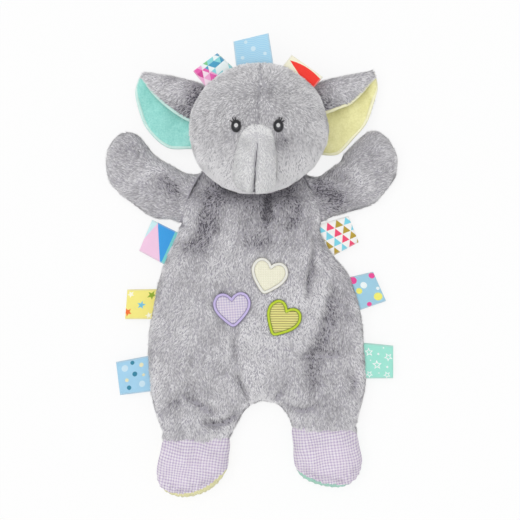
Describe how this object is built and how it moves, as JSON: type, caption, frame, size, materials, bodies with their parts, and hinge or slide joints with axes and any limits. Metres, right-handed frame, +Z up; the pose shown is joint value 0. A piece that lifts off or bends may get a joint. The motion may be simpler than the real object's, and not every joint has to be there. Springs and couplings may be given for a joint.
{
  "type": "plush elephant",
  "caption": "Flat-bodied plush elephant comforter with stuffed head, trunk, fold-over ears, soft limbs, heart patches and ribbon loops along its seams.",
  "frame": {"origin": "on the surface that the toy lies on, under the middle of the torso, on the flat of its back", "axes": "+Z up out of the face, +Y from the feet to the top of the head, +X to the right of a viewer who looks at the face"},
  "size_m": [0.2144, 0.3198, 0.0873],
  "materials": {
    "plush_grey": "short pile",
    "stuffing": "loose fibre",
    "cream_heart_patch": "woven cotton",
    "cream_heart_border": "satin stitch",
    "lilac_heart_patch": "woven cotton",
    "lilac_heart_border": "satin stitch",
    "green_heart_patch": "woven cotton",
    "green_heart_border": "satin stitch",
    "gingham": "woven check",
    "sole_yellow": "brushed velour",
    "sole_mint": "brushed velour",
    "eye_thread": "satin stitch",
    "eye_glint_thread": "satin stitch",
    "plush_light": "short pile",
    "lining_mint": "brushed velour",
    "lining_yellow": "brushed velour",
    "left_upper_ribbon": "satin ribbon",
    "left_middle_ribbon": "satin ribbon",
    "left_lower_ribbon": "satin ribbon",
    "right_upper_ribbon": "satin ribbon",
    "right_middle_ribbon": "satin ribbon",
    "right_lower_ribbon": "satin ribbon",
    "head_left_ribbon": "satin ribbon",
    "head_top_ribbon": "satin ribbon",
    "head_right_ribbon": "satin ribbon"
  },
  "bodies": {
    "torso": {"torso_front_panel": "plush_grey", "torso_back_panel": "plush_grey", "torso_filling": "stuffing", "cream_heart_patch": "cream_heart_patch", "cream_heart_border": "cream_heart_border", "lilac_heart_patch": "lilac_heart_patch", "lilac_heart_border": "lilac_heart_border", "green_heart_patch": "green_heart_patch", "green_heart_border": "green_heart_border"},
    "left_arm": {"left_arm_front_panel": "plush_grey", "left_arm_back_panel": "plush_grey", "left_arm_filling": "stuffing"},
    "right_arm": {"right_arm_front_panel": "plush_grey", "right_arm_back_panel": "plush_grey", "right_arm_filling": "stuffing"},
    "left_leg": {"left_leg_front_panel": "plush_grey", "left_leg_back_panel": "plush_grey", "left_leg_filling": "stuffing"},
    "left_foot": {"left_foot_upper": "gingham", "left_foot_sole": "sole_yellow", "left_foot_filling": "stuffing"},
    "right_leg": {"right_leg_front_panel": "plush_grey", "right_leg_back_panel": "plush_grey", "right_leg_filling": "stuffing"},
    "right_foot": {"right_foot_upper": "gingham", "right_foot_sole": "sole_mint", "right_foot_filling": "stuffing"},
    "head": {"face_left_panel": "plush_grey", "face_right_panel": "plush_grey", "head_back_panel": "plush_grey", "head_filling": "stuffing", "left_eye": "eye_thread", "left_eye_glint": "eye_glint_thread", "right_eye": "eye_thread", "right_eye_glint": "eye_glint_thread"},
    "trunk": {"trunk_left_panel": "plush_light", "trunk_right_panel": "plush_light", "trunk_filling": "stuffing"},
    "left_ear": {"left_ear_back": "plush_grey", "left_ear_lining": "lining_mint"},
    "right_ear": {"right_ear_back": "plush_grey", "right_ear_lining": "lining_yellow"},
    "left_upper_tag": {"left_upper_tag": "left_upper_ribbon"},
    "left_middle_tag": {"left_middle_tag": "left_middle_ribbon"},
    "left_lower_tag": {"left_lower_tag": "left_lower_ribbon"},
    "right_upper_tag": {"right_upper_tag": "right_upper_ribbon"},
    "right_middle_tag": {"right_middle_tag": "right_middle_ribbon"},
    "right_lower_tag": {"right_lower_tag": "right_lower_ribbon"},
    "head_left_tag": {"head_left_tag": "head_left_ribbon"},
    "head_top_tag": {"head_top_tag": "head_top_ribbon"},
    "head_right_tag": {"head_right_tag": "head_right_ribbon"}
  },
  "joints": [
    {"name": "neck_nod", "type": "hinge", "parent": "torso", "child": "head", "pos_m": [0.0027, 0.058, 0.007], "axis": [1, 0, 0], "range_deg": [-60, 20]},
    {"name": "left_shoulder", "type": "hinge", "parent": "torso", "child": "left_arm", "pos_m": [-0.04808, 0.04186, 0.007], "axis": [-0.2818, -0.9595, 0], "range_deg": [-35, 60]},
    {"name": "right_shoulder", "type": "hinge", "parent": "torso", "child": "right_arm", "pos_m": [0.04368, 0.04186, 0.007], "axis": [-0.2818, 0.9595, 0], "range_deg": [-35, 60]},
    {"name": "left_hip", "type": "hinge", "parent": "torso", "child": "left_leg", "pos_m": [-0.0369, -0.0993, 0.007], "axis": [1, 0, 0], "range_deg": [-55, 50]},
    {"name": "right_hip", "type": "hinge", "parent": "torso", "child": "right_leg", "pos_m": [0.0414, -0.0993, 0.007], "axis": [1, 0, 0], "range_deg": [-55, 50]},
    {"name": "left_ankle", "type": "hinge", "parent": "left_leg", "child": "left_foot", "pos_m": [-0.0408, -0.1276, 0.007], "axis": [1, 0, 0], "range_deg": [-45, 45]},
    {"name": "right_ankle", "type": "hinge", "parent": "right_leg", "child": "right_foot", "pos_m": [0.0486, -0.1201, 0.007], "axis": [1, 0, 0], "range_deg": [-45, 45]},
    {"name": "trunk_lift", "type": "hinge", "parent": "head", "child": "trunk", "pos_m": [0.0027, 0.09047, 0.06999], "axis": [-1, 0, 0], "range_deg": [0, 35], "stiffness_Nm_per_rad": 0.01},
    {"name": "left_ear_flap", "type": "hinge", "parent": "head", "child": "left_ear", "pos_m": [-0.0395, 0.08947, 0.02], "axis": [0, 1, 0], "range_deg": [-6, 20], "stiffness_Nm_per_rad": 0.01},
    {"name": "right_ear_flap", "type": "hinge", "parent": "head", "child": "right_ear", "pos_m": [0.0449, 0.08947, 0.02], "axis": [0, -1, 0], "range_deg": [-6, 20], "stiffness_Nm_per_rad": 0.01},
    {"name": "left_upper_tag_flap", "type": "hinge", "parent": "torso", "child": "left_upper_tag", "pos_m": [-0.05972, 0.00805, 0.007], "axis": [0.3656, 0.9308, 0], "range_deg": [-60, 60], "stiffness_Nm_per_rad": 0.001},
    {"name": "left_middle_tag_flap", "type": "hinge", "parent": "torso", "child": "left_middle_tag", "pos_m": [-0.0725, -0.03065, 0.007], "axis": [0.2385, 0.9711, 0], "range_deg": [-60, 60], "stiffness_Nm_per_rad": 0.001},
    {"name": "left_lower_tag_flap", "type": "hinge", "parent": "torso", "child": "left_lower_tag", "pos_m": [-0.07733, -0.07903, 0.007], "axis": [-0.0397, 0.9992, 0], "range_deg": [-60, 60], "stiffness_Nm_per_rad": 0.001},
    {"name": "right_upper_tag_flap", "type": "hinge", "parent": "torso", "child": "right_upper_tag", "pos_m": [0.05415, 0.01259, 0.007], "axis": [0.4067, -0.9136, 0], "range_deg": [-60, 60], "stiffness_Nm_per_rad": 0.001},
    {"name": "right_middle_tag_flap", "type": "hinge", "parent": "torso", "child": "right_middle_tag", "pos_m": [0.06779, -0.02157, 0.007], "axis": [0.3181, -0.948, 0], "range_deg": [-60, 60], "stiffness_Nm_per_rad": 0.001},
    {"name": "right_lower_tag_flap", "type": "hinge", "parent": "torso", "child": "right_lower_tag", "pos_m": [0.07735, -0.06994, 0.007], "axis": [0.0428, -0.9991, 0], "range_deg": [-60, 60], "stiffness_Nm_per_rad": 0.001},
    {"name": "head_left_tag_flap", "type": "hinge", "parent": "head", "child": "head_left_tag", "pos_m": [-0.02761, 0.12546, 0.034], "axis": [0.8006, 0.5992, 0], "range_deg": [-45, 60], "stiffness_Nm_per_rad": 0.001},
    {"name": "head_top_tag_flap", "type": "hinge", "parent": "head", "child": "head_top_tag", "pos_m": [-0.00027, 0.13533, 0.034], "axis": [0.9983, 0.0574, 0], "range_deg": [-45, 60], "stiffness_Nm_per_rad": 0.001},
    {"name": "head_right_tag_flap", "type": "hinge", "parent": "head", "child": "head_right_tag", "pos_m": [0.03465, 0.12418, 0.034], "axis": [0.7741, -0.6331, 0], "range_deg": [-45, 60], "stiffness_Nm_per_rad": 0.001}
  ]
}
